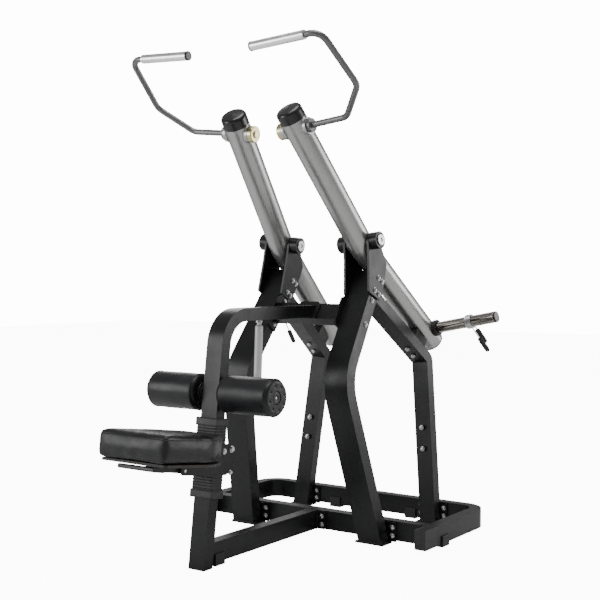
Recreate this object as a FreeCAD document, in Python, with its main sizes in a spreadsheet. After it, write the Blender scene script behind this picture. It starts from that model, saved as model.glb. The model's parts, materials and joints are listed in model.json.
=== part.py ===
import FreeCAD, Part
import math
import os
import re

import Sketcher
from FreeCAD import Placement, Rotation, Vector

# Plate-loaded lat pulldown. Millimetres, +Z up, floor at Z = 0, X = 0 is the plane of symmetry,
# and +Y runs from the seat's front edge towards the weight horns.
SIZES = {
    # base
    "base_height": 80, "base_width": 50, "base_lift": 12, "tube_wall": 3,
    "rail_outer_x": 590, "rail_front_y": 157, "front_beam_y": 260, "rear_beam_y": 705, "rail_bend": 80,
    "foot_length": 55, "foot_wall": 7, "foot_lip": 34,
    # seat column and its top beam
    "post_width": 76, "post_depth": 50, "post_foot_y": -511.6, "post_lean": 7.6,
    "top_beam_z": 944, "post_bend": 125,
    # the two side frames: a plane through each lever pivot, leaning in and opened to the rear
    "pivot_x": 205.2, "pivot_y": 286, "pivot_z": 1233.1, "side_tilt": 5.9, "side_yaw": 2,
    "leg_width": 110, "leg_depth": 58, "leg_bend": 215,
    "rear_leg_width": 78, "rear_leg_depth": 50,
    "brace_y": 214, "brace_z": 931, "brace_tilt": 35, "plate": 8,
    "bracket_gap": 110, "bracket_plate": 10, "boss_radius": 36, "boss_length": 34,
    "shaft_radius": 15, "cap_radius": 23.5, "cap_thick": 6,
    # lever arms
    "arm_radius": 54, "arm_wall": 4, "pivot_sleeve_radius": 32, "pivot_sleeve_length": 109,
    "bearing_radius": 24, "bearing_length": 22, "running_gap": 0.05,
    "handle_sleeve_radius": 35, "handle_sleeve_length": 122,
    # weight horns
    "horn_radius": 25, "horn_length": 312, "horn_rise": 5.1, "flange_radius": 35,
    "cap_depth": 9,
    # handles
    "handle_radius": 12.5, "handle_wall": 2.5, "handle_bend": 52, "grip_radius": 18, "grip_length": 236,
    # spring collars
    "wire_radius": 3, "coil_gap": 1, "collar_reach": 165, "collar_grip_radius": 11, "collar_grip_length": 84,
    # foam rollers
    "roller_z": 651, "roller_radius": 71, "roller_length": 238, "roller_end_x": 294, "roller_shaft_radius": 11,
    "roller_bore_radius": 24,
    # seat
    "seat_bottom": 404, "seat_thick": 102, "board_thick": 10,
    "carriage_plate": 6, "sleeve_wall": 7, "sleeve_low": 266, "sleeve_high": 562,
    "bolt_radius": 6, "washer_radius": 11.5, "bolt_head_radius": 10, "bolt_head_height": 7,
}

doc = FreeCAD.newDocument("lat_pulldown")
sheet = doc.addObject("Spreadsheet::Sheet", "Sizes")
for row, (alias, value) in enumerate(SIZES.items(), 1):
    sheet.set(f"A{row}", alias)
    sheet.set(f"B{row}", str(value))
    sheet.setAlias(f"B{row}", alias)
doc.recompute()

nodes = {}


def size(alias):
    return float(sheet.get(alias))


def formula(text):
    """The expression with each spreadsheet alias in it written as the sheet's own cell."""
    return re.sub(r"[a-z_]+", lambda m: "Sizes." + m.group() if m.group() in SIZES else m.group(), text)


def bind(thing, **formulas):
    for name, text in formulas.items():
        thing.setExpression(name, formula(text))
    return thing


def node(label, thing):
    """Names the object as one piece of the machine. Its label is its file's name."""
    thing.Label = label
    nodes[label] = thing
    return thing


def local(*at, turn=None):
    return Placement(Vector(*at), turn or Rotation())


def turn_x(degrees):
    return Rotation(Vector(1, 0, 0), degrees)


def turn_y(degrees):
    return Rotation(Vector(0, 1, 0), degrees)


# ---- frames of reference ----

SIDE = Placement(
    Vector(size("pivot_x"), size("pivot_y"), size("pivot_z")),
    Rotation(-size("side_yaw"), -size("side_tilt"), 0),
)
POST = Placement(Vector(0, size("post_foot_y"), 0), turn_x(-size("post_lean")))
BRACE = Placement(Vector(0, size("brace_y"), size("brace_z")), turn_x(-size("brace_tilt")))
WORLD = Placement()


def along(start, end):
    """The placement in a YZ plane at start whose Z runs to end."""
    rise = math.degrees(math.atan2(start[0] - end[0], end[1] - start[1]))
    return Placement(Vector(0, *start), turn_x(rise))


# ---- shape helpers ----

def plane(body, role):
    return next(f for f in body.Origin.OriginFeatures if f.Role == role)


def new_body(name, place):
    body = doc.addObject("PartDesign::Body", name)
    body.Placement = place
    return body


def sketch_on(body, role, name):
    sketch = body.newObject("Sketcher::SketchObject", name)
    sketch.AttachmentSupport = [(plane(body, role), "")]
    sketch.MapMode = "FlatFace"
    return sketch


def bound_rectangle(sketch, width, depth):
    """A rectangle centred on the sketch's origin, with both sides bound to the sheet."""
    first = sketch.GeometryCount
    corners = [Vector(-20, -20, 0), Vector(20, -20, 0), Vector(20, 20, 0), Vector(-20, 20, 0)]
    for i in range(4):
        sketch.addGeometry(Part.LineSegment(corners[i], corners[(i + 1) % 4]))
    for i in range(4):
        sketch.addConstraint(Sketcher.Constraint("Coincident", first + i, 2, first + (i + 1) % 4, 1))
    for kind, line in (("Horizontal", 0), ("Horizontal", 2), ("Vertical", 1), ("Vertical", 3)):
        sketch.addConstraint(Sketcher.Constraint(kind, first + line))
    sketch.addConstraint(Sketcher.Constraint("Symmetric", first, 1, first + 1, 2, -1, 1))
    for kind, line, text in (("DistanceX", 0, width), ("DistanceY", 1, depth)):
        row = sketch.addConstraint(Sketcher.Constraint(kind, first + line, 1, first + line, 2, 40))
        sketch.setExpression(f"Constraints[{row}]", formula(text))


def bound_circle(sketch, radius, centre=(0, 0)):
    line = sketch.addGeometry(Part.Circle(Vector(*centre, 0), Vector(0, 0, 1), 10))
    row = sketch.addConstraint(Sketcher.Constraint("Radius", line, 10))
    sketch.setExpression(f"Constraints[{row}]", formula(radius))


def rounded_path(points, radii, closed=False):
    """Straight runs through the points, joined by tangent arcs of the given radii."""
    points = [Vector(*p, 0) for p in points]
    count = len(points)
    entries, exits, arcs = [], [], []
    for i, corner in enumerate(points):
        radius = radii[i] if isinstance(radii, (list, tuple)) else radii
        inner = closed or 0 < i < count - 1
        before = (points[i - 1] - corner).normalize() if inner else None
        after = (points[(i + 1) % count] - corner).normalize() if inner else None
        if not inner or radius <= 0:
            entries.append(corner)
            exits.append(corner)
            arcs.append(None)
            continue
        half = before.getAngle(after) / 2
        reach = radius / math.tan(half)
        middle = corner + (before + after).normalize() * (radius / math.sin(half) - radius)
        entries.append(corner + before * reach)
        exits.append(corner + after * reach)
        arcs.append(Part.Arc(entries[-1], middle, exits[-1]))
    edges = []
    for i in range(count):
        if arcs[i] is not None:
            edges.append(arcs[i])
        if i < count - 1 or closed:
            start, end = exits[i], entries[(i + 1) % count]
            if start.distanceToPoint(end) > 1e-6:
                edges.append(Part.LineSegment(start, end))
    return edges


def outline(sketch, points, radii=0):
    for edge in rounded_path(points, radii, closed=True):
        sketch.addGeometry(edge)


def plate(name, place, role, points, radii, thickness, holes=(), midplane=False, back=False):
    """A plate cut to an outline on one of the body's own planes, with round holes (u, v, radius)."""
    body = new_body(name, place)
    sketch = sketch_on(body, role, name + "_outline")
    outline(sketch, points, radii)
    for u, v, radius in holes:
        bound_circle(sketch, radius, (u, v))
    pad = body.newObject("PartDesign::Pad", name + "_pad")
    pad.Profile = sketch
    pad.Midplane = midplane
    pad.Reversed = back
    bind(pad, Length=thickness)
    return body


def turned(name, place, points, radii=0):
    """A turned piece: an outline of (radius, height) points revolved about the body's Z axis."""
    body = new_body(name, place)
    sketch = sketch_on(body, "XZ_Plane", name + "_profile")
    outline(sketch, points, radii)
    spin = body.newObject("PartDesign::Revolution", name + "_spin")
    spin.Profile = sketch
    spin.ReferenceAxis = (sketch, ["V_Axis"])
    spin.Angle = 360
    return body


def ring(name, place, outer, inner, length):
    """A round tube along the body's Z axis, standing on its origin."""
    body = new_body(name, place)
    sketch = sketch_on(body, "XY_Plane", name + "_section")
    bound_circle(sketch, outer)
    if inner:
        bound_circle(sketch, inner)
    pad = body.newObject("PartDesign::Pad", name + "_pad")
    pad.Profile = sketch
    bind(pad, Length=length)
    return body


def bar(name, place, width, depth, length, wall=None):
    """A rectangular tube, or a solid bar with no wall, along Z from the body's origin."""
    body = new_body(name, place)
    sketch = sketch_on(body, "XY_Plane", name + "_section")
    bound_rectangle(sketch, width, depth)
    if wall:
        bound_rectangle(sketch, f"{width} - 2 * {wall}", f"{depth} - 2 * {wall}")
    pad = body.newObject("PartDesign::Pad", name + "_pad")
    pad.Profile = sketch
    bind(pad, Length=length)
    return body


def bent_tube(name, frame, points, radii, width, depth, wall="tube_wall"):
    """A rectangular tube swept through (y, z) points of the frame's YZ plane."""
    start = along(points[0], points[1])
    body = new_body(name, frame * start)
    section = sketch_on(body, "XY_Plane", name + "_section")
    bound_rectangle(section, width, depth)
    bound_rectangle(section, f"{width} - 2 * {wall}", f"{depth} - 2 * {wall}")
    return swept(body, name, section, "YZ_Plane", start, points, radii)


def round_tube(name, frame, points, radii, outer, inner=None):
    """A round tube swept through (y, z) points of the frame's YZ plane."""
    start = along(points[0], points[1])
    body = new_body(name, frame * start)
    section = sketch_on(body, "XY_Plane", name + "_section")
    bound_circle(section, outer)
    if inner:
        bound_circle(section, inner)
    return swept(body, name, section, "YZ_Plane", start, points, radii)


def swept(body, name, section, role, start, points, radii):
    path = sketch_on(body, role, name + "_path")
    inverse = start.inverse()
    flat = [inverse.multVec(Vector(0, *p)) for p in points]
    for edge in rounded_path([(p.y, p.z) for p in flat], radii):
        path.addGeometry(edge)
    pipe = body.newObject("PartDesign::AdditivePipe", name + "_sweep")
    pipe.Profile = section
    pipe.Spine = (path, [f"Edge{i + 1}" for i in range(path.GeometryCount)])
    return body


def cutter(name, place, low, high):
    """A plain box between two corners of its own frame, for trimming other pieces."""
    box = doc.addObject("Part::Box", name)
    box.Length, box.Width, box.Height = (high[i] - low[i] for i in range(3))
    box.Placement = place * local(*low)
    return box


def cut(name, base, tool):
    result = doc.addObject("Part::Cut", name)
    result.Base = base
    result.Tool = tool
    return result


def fuse(name, *pieces):
    result = doc.addObject("Part::MultiFuse", name)
    result.Shapes = list(pieces)
    result.Refine = True
    return result


def group(name, *pieces):
    result = doc.addObject("Part::Compound", name)
    result.Links = list(pieces)
    return result


def mirrored(name, source):
    """The same piece on the other side of the machine."""
    result = doc.addObject("Part::Mirroring", name)
    result.Source = source
    result.Base = Vector(0, 0, 0)
    result.Normal = Vector(1, 0, 0)
    return result


def both_sides(label, thing):
    node(label + "_right", thing)
    node(label + "_left", mirrored(label + "_mirror", thing))


# ---- bolts ----

def bolt_shape(grip):
    """A hex bolt with two washers and a nut, clamping from Z = 0 down to Z = -grip."""
    radius, washer = size("bolt_radius"), size("washer_radius")
    head, height = size("bolt_head_radius"), size("bolt_head_height")
    thin = 2
    hexagon = Part.makePolygon([Vector(head * math.cos(i * math.pi / 3), head * math.sin(i * math.pi / 3), 0)
                                for i in range(7)])
    prism = Part.Face(hexagon).extrude(Vector(0, 0, height))
    dome = Part.makeSphere(head * 1.28, Vector(0, 0, height - head * 1.28))
    prism = prism.common(dome)
    top = prism.translated(Vector(0, 0, thin))
    nut = prism.rotated(Vector(0, 0, 0), Vector(1, 0, 0), 180).translated(Vector(0, 0, -grip - thin))
    shank = Part.makeCylinder(radius, grip + 2 * thin, Vector(0, 0, -grip - thin))
    washers = [Part.makeCylinder(washer, thin, Vector(0, 0, z)) for z in (0, -grip - thin)]
    return shank.multiFuse([top, nut] + washers).removeSplitter()


def bolt_group(label, places, grip):
    """Identical through bolts at the given placements, as separate solids in one piece list."""
    shape = bolt_shape(grip)
    feature = doc.addObject("Part::Feature", label)
    feature.Shape = Part.makeCompound([shape.transformed(p.toMatrix()) for p in places])
    return feature


def drilled(name, base, places, depth):
    """The base with a clearance hole at each bolt."""
    radius = size("bolt_radius") + 0.3
    drill = Part.makeCylinder(radius, depth + 40, Vector(0, 0, -depth - 20))
    tool = doc.addObject("Part::Feature", name + "_drill")
    tool.Shape = Part.makeCompound([drill.transformed(p.toMatrix()) for p in places])
    return cut(name, base, tool)


def mirror_place(place):
    """The placement mirrored in the plane of symmetry, for a piece that is symmetric about its own axis."""
    m = place.Matrix
    out = Vector(-m.A13, m.A23, m.A33)
    return Placement(Vector(-m.A14, m.A24, m.A34), Rotation(Vector(0, 0, 1), out))


# ---- base frame ----

FLOOR = cutter("floor_trim", WORLD, (-900, -900, -200), (900, 1200, 0))


def flange_bolts():
    """The bolts through the base flanges, whose axes run front to back."""
    front = size("front_beam_y") - size("base_width") / 2 - size("plate")
    rear = size("rear_beam_y") - size("base_width") / 2 - size("plate")
    facing = Rotation(Vector(0, 0, 1), Vector(0, -1, 0))
    spots = [(side * x, y, z) for side in (-1, 1) for z in (33, 67)
             for x, y in ((48, front), (252, front), (396, front), (285, rear), (395, rear))]
    return [Placement(Vector(*s), facing) for s in spots]


BASE_BOLTS = flange_bolts()
BASE_GRIP = size("base_width") + size("plate")


def base_beam(label, centre_y, reach):
    middle = size("base_lift") + size("base_height") / 2
    turn = Rotation(Vector(0, 0, 1), Vector(1, 0, 0))
    place = Placement(Vector(-reach, centre_y, middle), turn)
    return bar(label, place, "base_height", "base_width", str(2 * reach), "tube_wall")


def front_beam():
    reach = size("rail_outer_x") - size("base_width")
    beam = base_beam("front_beam_tube", size("front_beam_y"), reach)
    node("base_front_beam", drilled("front_beam", beam, BASE_BOLTS, BASE_GRIP))


def base_rail():
    """Both side rails and the rear beam are one tube with two bends."""
    rail_x = size("rail_outer_x") - size("base_width") / 2
    rear, front = size("rear_beam_y"), size("rail_front_y")
    middle = size("base_lift") + size("base_height") / 2
    start = Placement(Vector(rail_x, front, middle), Rotation(Vector(1, 0, 0), -90))
    body = new_body("base_rail_tube", start)
    section = sketch_on(body, "XY_Plane", "base_rail_section")
    bound_rectangle(section, "base_width", "base_height")
    bound_rectangle(section, "base_width - 2 * tube_wall", "base_height - 2 * tube_wall")
    path = sketch_on(body, "XZ_Plane", "base_rail_path")
    run = rear - front
    corners = [(0, 0), (0, run), (-2 * rail_x, run), (-2 * rail_x, 0)]
    for edge in rounded_path(corners, size("rail_bend")):
        path.addGeometry(edge)
    pipe = body.newObject("PartDesign::AdditivePipe", "base_rail_sweep")
    pipe.Profile = section
    pipe.Spine = (path, [f"Edge{i + 1}" for i in range(path.GeometryCount)])
    node("base_side_and_rear_rail", drilled("base_rail", body, BASE_BOLTS, BASE_GRIP))


def base_spine():
    """The beam from the seat column back to the front cross beam, with its bolted tee flange."""
    front = size("post_foot_y") + size("post_depth") / 2 + 6
    rear = size("front_beam_y") - size("base_width") / 2 - size("plate")
    middle = size("base_lift") + size("base_height") / 2
    place = Placement(Vector(0, front, middle), Rotation(Vector(1, 0, 0), -90))
    beam = bar("spine_tube", place, "base_width", "base_height", str(rear - front), "tube_wall")
    column = cutter("spine_trim", POST, (-60, -60, -100), (60, size("post_depth") / 2, 200))
    trimmed = cut("spine_trimmed", beam, column)
    face = Placement(Vector(0, rear, middle), Rotation(Vector(1, 0, 0), -90))
    tee = plate("spine_tee", face, "XY_Plane", [(-66, -40), (66, -40), (66, 40), (-66, 40)], 8, "plate")
    node("base_spine", drilled("spine", fuse("spine_welded", trimmed, tee), BASE_BOLTS, BASE_GRIP))


def rail_caps():
    """Push-in end caps of the two side rails."""
    width, height, wall = size("base_width"), size("base_height"), size("tube_wall")
    middle = size("base_lift") + height / 2
    caps = []
    for side in (-1, 1):
        x = side * (size("rail_outer_x") - width / 2)
        place = Placement(Vector(x, size("rail_front_y"), middle), Rotation(Vector(1, 0, 0), 90))
        lid = bar(f"rail_cap_lid_{side + 1}", place, "base_width", "base_height", "3")
        plug = bar(f"rail_cap_plug_{side + 1}", place * local(0, 0, -12),
                   "base_width - 2 * tube_wall", "base_height - 2 * tube_wall", "12")
        caps.append(fuse(f"rail_cap_{side + 1}", lid, plug))
    node("rail_end_caps", group("rail_end_cap_pair", *caps))


def saddle_foot(name, x, y, across):
    """A rubber saddle under a base tube, with lips up both of its sides."""
    lift, wall, lip = size("base_lift"), size("foot_wall"), size("foot_lip")
    half = size("base_width") / 2
    turn = Rotation(Vector(0, 0, 1), 90) if across else Rotation()
    place = Placement(Vector(x, y, 0), turn * Rotation(Vector(1, 0, 0), 90))
    points = [(-half - wall, 0), (half + wall, 0), (half + wall, lift + lip), (half, lift + lip),
              (half, lift), (-half, lift), (-half, lift + lip), (-half - wall, lift + lip)]
    radii = [3, 3, 3, 0, 0, 0, 0, 3]
    return plate(name, place, "XY_Plane", points, radii, "foot_length", midplane=True)


def rubber_feet():
    rail_x = size("rail_outer_x") - size("base_width") / 2
    spots = [(0, -431, False), (rail_x, 316, False), (-rail_x, 316, False),
             (-180, size("rear_beam_y"), True), (226, size("rear_beam_y"), True)]
    feet = [saddle_foot(f"saddle_foot_{i}", *spot) for i, spot in enumerate(spots)]
    node("rubber_feet", group("rubber_foot_set", *feet))


# ---- seat column ----

def column():
    """The leaning upright, bent over into the top beam, which ends in a flange on the cross brace."""
    lean = math.radians(size("post_lean"))
    foot, high = size("post_foot_y"), size("top_beam_z")
    low = -40
    corner_y = foot + high * math.tan(lean)
    points = [(foot + low * math.tan(lean), low), (corner_y, high), (size("brace_y"), high)]
    tube = bent_tube("column_tube", WORLD, points, [0, size("post_bend"), 0], "post_width", "post_depth")
    face = -size("post_depth") / 2
    rear_trim = cutter("column_rear_trim", BRACE, (-200, face - size("plate"), -300), (200, 400, 300))
    trims = fuse("column_trims", FLOOR, rear_trim)
    flange_points = [(-56, -28), (-42, -42), (42, -42), (56, -28), (56, 28), (42, 42), (-42, 42), (-56, 28)]
    flange = plate("column_flange", BRACE * local(0, face, 0), "XZ_Plane", flange_points, 0, "plate")
    welded = fuse("column_welded", cut("column_trimmed", tube, trims), flange)
    bore = ring("column_bore", Placement(Vector(-80, roller_y(), size("roller_z")), turn_y(90)),
                "roller_shaft_radius", None, "160")
    node("seat_column", cut("column_bored", welded, bore))


def roller_y():
    """Where the roller shaft crosses the middle of the leaning column."""
    return size("post_foot_y") + size("roller_z") * math.tan(math.radians(size("post_lean")))


# ---- side frames ----

# the front leg's centreline in the side frame's own (rearward, upward) plane: foot, knee, top
LEG = [(-76, -1290), (-253.5, -562.6), (48, -131)]
REAR_LEG = [(362, -1290), (416.2, -518.2), (-30, -185)]
LEG_RISE = along(LEG[1], LEG[2])


def bracket_bolts():
    """Four through bolts that hold both pivot brackets on the leg's upper end."""
    reach = size("leg_width") / 2 + size("bracket_plate")
    outward = turn_y(90)
    spots = [(14.7, -155.9), (40, -170.7), (-20.3, -206.5), (4.5, -221.9)]
    return [SIDE * local(reach, v, b, turn=outward) for v, b in spots]


def leg_bolts():
    """Two through bolts that hold the cross brace's flange on the leg's inner side."""
    reach = size("leg_width") / 2
    return [SIDE * local(reach, v, b, turn=turn_y(90)) for v, b in ((-33.2, -247.5), (-96.8, -344.7))]


BRACKET_BOLTS = bracket_bolts()
LEG_BOLTS = leg_bolts()
BRACKET_GRIP = size("leg_width") + 2 * size("bracket_plate")
LEG_GRIP = size("leg_width") + size("plate")


def foot_flange(name, x, y, half_x, front, rear):
    """A floor plate and an upright flange, both welded to the bottom of a leg."""
    floor_plate = cutter(name + "_floor", WORLD, (x - half_x, front, 0), (x + half_x, rear, size("plate")))
    upright = cutter(name + "_upright", WORLD, (x - half_x - 22, y - size("plate"), size("plate")),
                     (x + half_x + 22, y, 88))
    return fuse(name, floor_plate, upright)


def front_leg():
    tube = bent_tube("front_leg_tube", SIDE, LEG, [0, size("leg_bend"), 0], "leg_width", "leg_depth")
    low = cutter("front_leg_floor_trim", WORLD, (100, 0, -200), (600, 500, size("plate")))
    face = size("front_beam_y") - size("base_width") / 2
    behind = cutter("front_leg_rear_trim", WORLD, (100, face - size("plate"), -50), (600, 500, 90))
    trimmed = cut("front_leg_trimmed", tube, fuse("front_leg_trims", low, behind))
    foot = foot_flange("front_leg_foot", 324, face, 66, 160, face)
    welded = fuse("front_leg_welded", trimmed, foot)
    first = drilled("front_leg_drilled", welded, BRACKET_BOLTS + LEG_BOLTS, BRACKET_GRIP)
    both_sides("front_leg", drilled("front_leg", first, BASE_BOLTS, BASE_GRIP))


def rear_leg():
    tube = bent_tube("rear_leg_tube", SIDE, REAR_LEG, [0, 26, 0], "rear_leg_width", "rear_leg_depth")
    low = cutter("rear_leg_floor_trim", WORLD, (100, 400, -200), (600, 900, size("plate")))
    face = size("rear_beam_y") - size("base_width") / 2
    behind = cutter("rear_leg_rear_trim", WORLD, (100, face - size("plate"), -50), (600, 900, 90))
    rear_of_leg = size("leg_depth") / 2
    ahead = cutter("rear_leg_front_trim", SIDE * LEG_RISE, (-100, -300, -200), (100, rear_of_leg, 900))
    trimmed = cut("rear_leg_trimmed", tube, fuse("rear_leg_trims", low, behind, ahead))
    foot = foot_flange("rear_leg_foot", 340, face, 50, 600, face)
    welded = fuse("rear_leg_welded", trimmed, foot)
    both_sides("rear_leg", drilled("rear_leg", welded, BASE_BOLTS, BASE_GRIP))


def cross_brace():
    """The tilted tube between the front legs, with a flange at each end."""
    place = BRACE * local(-185, 0, 0, turn=turn_y(90))
    tube = bar("brace_tube", place, "post_width", "post_depth", "370", "tube_wall")
    inner = size("leg_width") / 2
    outline_points = [(-58, -58), (-42, -76), (28, -76), (28, 76), (-38, 76), (-58, 50)]
    centre = SIDE * local(-inner, -70, -300) * local(0, 0, 0, turn=turn_x(-size("brace_tilt")))
    flange = plate("brace_flange", centre, "YZ_Plane", outline_points, 0, "plate", back=True)
    beyond = cutter("brace_trim", SIDE, (-inner - size("plate"), -300, -600), (200, 300, 100))
    trims = fuse("brace_trims", beyond, mirrored("brace_trim_left", beyond))
    welded = fuse("brace_welded", cut("brace_trimmed", tube, trims), flange, mirrored("brace_flange_left", flange))
    places = LEG_BOLTS + [mirror_place(p) for p in LEG_BOLTS]
    node("upper_cross_brace", drilled("brace", welded, places, LEG_GRIP + 20))


def pivot_brackets():
    """Two plates that carry the lever's shaft, each with a round boss."""
    half = size("bracket_gap") / 2
    boss = size("boss_radius")
    points = [(-64, -213), (18, -252), (58, -168), (86, -97), (37, 26), (0, 36), (-36, 22), (-44, -80)]
    radii = [8, 8, 10, 14, 30, 30, 30, 60]
    pair = []
    for name, side in (("outer", 1), ("inner", -1)):
        body = plate(f"bracket_{name}", SIDE * local(side * half, 0, 0), "YZ_Plane", points, radii,
                     "bracket_plate", back=side < 0)
        hub = ring(f"bracket_{name}_boss", SIDE * local(side * half, 0, 0, turn=turn_y(side * 90)),
                   "boss_radius", None, "boss_length + bracket_plate")
        bore = ring(f"bracket_{name}_bore", SIDE * local(side * (half - 5), 0, 0, turn=turn_y(side * 90)),
                    "shaft_radius", None, "80")
        welded = cut(f"bracket_{name}_bored", fuse(f"bracket_{name}_welded", body, hub), bore)
        pair.append(drilled(f"bracket_{name}_plate", welded, BRACKET_BOLTS, BRACKET_GRIP))
    both_sides("pivot_brackets", group("bracket_pair", *pair))


def pivot_shaft():
    reach = size("bracket_gap") / 2 + size("bracket_plate") + size("boss_length")
    shaft = ring("shaft_bar", SIDE * local(-reach, 0, 0, turn=turn_y(90)), "shaft_radius", None, str(2 * reach))
    both_sides("pivot_shaft", shaft)
    caps = []
    for side in (-1, 1):
        place = SIDE * local(side * reach, 0, 0, turn=turn_y(side * 90))
        radius, thick = size("cap_radius"), size("cap_thick")
        points = [(0, 0), (radius, 0), (radius, thick), (9, thick), (9, 2), (0, 2)]
        caps.append(turned(f"shaft_cap_{side + 1}", place, points, [0, 0, 2, 1, 0, 0]))
    right = group("shaft_cap_pair", *caps)
    node("pivot_shaft_caps", group("shaft_cap_set", right, mirrored("shaft_cap_mirror", right)))


def arm_bumper():
    """A rubber block on the rear leg's upper beam, where the lever's tail rests."""
    beam = along(REAR_LEG[1], REAR_LEG[2])
    place = SIDE * beam * local(0, size("rear_leg_depth") / 2, 55)
    points = [(0, -5), (0, 85), (49.1, 85), (44.2, -5)]
    block = plate("bumper_block", place, "YZ_Plane", points, [0, 0, 10, 10], "62", midplane=True)
    node("arm_bumpers", group("bumper_pair", block, mirrored("bumper_mirror", block)))


# ---- levers ----

# the arm's centreline in the side frame: upper rim, bend at the pivot, lower end
ARM = [(-401, 479), (11, -22), (506, -436)]
HANDLE_AT = (0, -377, 445)
HANDLE = SIDE * local(*HANDLE_AT) * Placement(Vector(), Rotation(Vector(0, 0.655, 0.755), Vector(0, -0.755, 0.655),
                                                                 Vector(1, 0, 0), "ZXY"))
HORN = SIDE * local(0, 462, -388, turn=turn_y(90 - size("horn_rise")))
# the handle's centreline in its own (swing, outward) plane, from the inboard end to the end of the grip
GRIP_TUBE = [(0, -76), (0, 237), (128, 362), (385, 352), (405, 50)]


def lever_arm():
    tube = round_tube("arm_tube", SIDE, ARM, [0, 200, 0], "arm_radius", "arm_radius - arm_wall")
    sleeve_length, half = size("pivot_sleeve_length"), size("pivot_sleeve_length") / 2
    across = turn_y(90)
    sleeve = ring("arm_pivot_sleeve", SIDE * local(-half, 0, 0, turn=across),
                  "pivot_sleeve_radius", None, "pivot_sleeve_length")
    grip_half = size("handle_sleeve_length") / 2
    grip_place = SIDE * local(*HANDLE_AT) * local(-grip_half, 0, 0, turn=across)
    grip_sleeve = ring("arm_handle_sleeve", grip_place, "handle_sleeve_radius", None, "handle_sleeve_length")
    bore = ring("arm_pivot_bore", SIDE * local(-half - 5, 0, 0, turn=across),
                "bearing_radius", None, "pivot_sleeve_length + 10")
    grip_bore = ring("arm_handle_bore", grip_place * local(0, 0, -5), "handle_radius + 8", None,
                     "handle_sleeve_length + 10")
    welded = fuse("arm_welded", tube, sleeve, grip_sleeve)
    both_sides("lever_arm", cut("arm", welded, fuse("arm_bores", bore, grip_bore)))


def arm_caps():
    """A tall domed cap over the arm's upper rim and a thin flat one over its lower end."""
    for label, points, high, soft, crown in (("arm_top_cap", (ARM[1], ARM[0]), 48, 16, 5),
                                             ("arm_end_cap", (ARM[1], ARM[2]), 9, 3, 0)):
        beyond = [2 * points[1][i] - points[0][i] for i in range(2)]
        radius = size("arm_radius")
        profile = [(0, 0), (radius, 0), (radius, high), (0, high + crown)]
        both_sides(label, turned(label + "_cap", SIDE * along(points[1], beyond), profile, [0, 0, soft, 0]))


def arm_bearings():
    """A pair of bearings at the pivot and a pair of bushes round the handle, pressed in the arm."""
    parts = []
    for side in (-1, 1):
        inset = size("pivot_sleeve_length") / 2 - size("bearing_length")
        place = SIDE * local(side * inset, 0, 0, turn=turn_y(side * 90))
        parts.append(ring(f"pivot_bearing_{side + 1}", place, "bearing_radius",
                          "shaft_radius + running_gap", "bearing_length"))
        inset = size("handle_sleeve_length") / 2 - size("bearing_length")
        place = SIDE * local(*HANDLE_AT) * local(side * inset, 0, 0, turn=turn_y(side * 90))
        parts.append(ring(f"handle_bush_{side + 1}", place, "handle_radius + 8",
                          "handle_radius + running_gap", "bearing_length"))
    both_sides("arm_bearings", group("bearing_set", *parts))


def weight_horn():
    """A plate horn: a solid core in a sleeve, with a stop flange welded on the arm's flank."""
    tip = 54 + size("horn_length") - size("cap_depth")
    core = size("horn_radius")
    points = [(0, 30), (core, 30), (core, 50), (size("flange_radius"), 50), (size("flange_radius"), 68),
              (core, 68), (core, tip), (0, tip)]
    bar_body = turned("horn_bar", HORN, points, [0, 0, 0, 2, 2, 0, 2, 0])
    lower = along(ARM[1], ARM[2])
    hollow = ring("horn_saddle", SIDE * lower * local(0, 0, 300), "arm_radius", None, "600")
    both_sides("weight_horn", cut("horn", bar_body, hollow))
    cap = turned("horn_cap", HORN * local(0, 0, tip), [(0, 0), (24.6, 0), (24.6, 9), (0, 9)], [0, 0, 3, 0])
    both_sides("horn_end_cap", cap)


def spring_collar():
    """A close-wound wire collar that slides on the horn, with its two straight ends in hand grips."""
    wire, inner = size("wire_radius"), size("horn_radius") + size("coil_gap")
    outer, pitch = inner + 2 * wire, 2 * wire + 0.6
    place = HORN * local(0, 0, 216, turn=Rotation(Vector(0, 0, 1), 135))
    ribs = []
    for i in range(5):
        ribs += [(outer, pitch * i + 1.2), (outer, pitch * (i + 1) - 1.2), (outer - 1.6, pitch * (i + 1))]
    coil = turned("collar_coil", place, [(inner, 0), (outer - 1.6, 0)] + ribs + [(inner, 5 * pitch)])
    reach, hold = size("collar_reach"), size("collar_grip_length")
    legs, grips = [], []
    for side, height in ((1, wire + 0.6), (-1, 5 * pitch - wire - 0.6)):
        at = place * local(side * (inner + wire), 0, height, turn=turn_x(90))
        legs.append(ring(f"collar_leg_{side + 1}", at, "wire_radius", None, "collar_reach - 6"))
        profile = [(wire, reach - hold), (size("collar_grip_radius"), reach - hold),
                   (size("collar_grip_radius"), reach), (0, reach), (0, reach - 6), (wire, reach - 6)]
        grips.append(turned(f"collar_grip_{side + 1}", at, profile, [0, 5, 5, 0, 0, 0]))
    both_sides("collar_spring", fuse("collar", coil, *legs))
    both_sides("collar_grips", group("collar_grip_pair", *grips))


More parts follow.
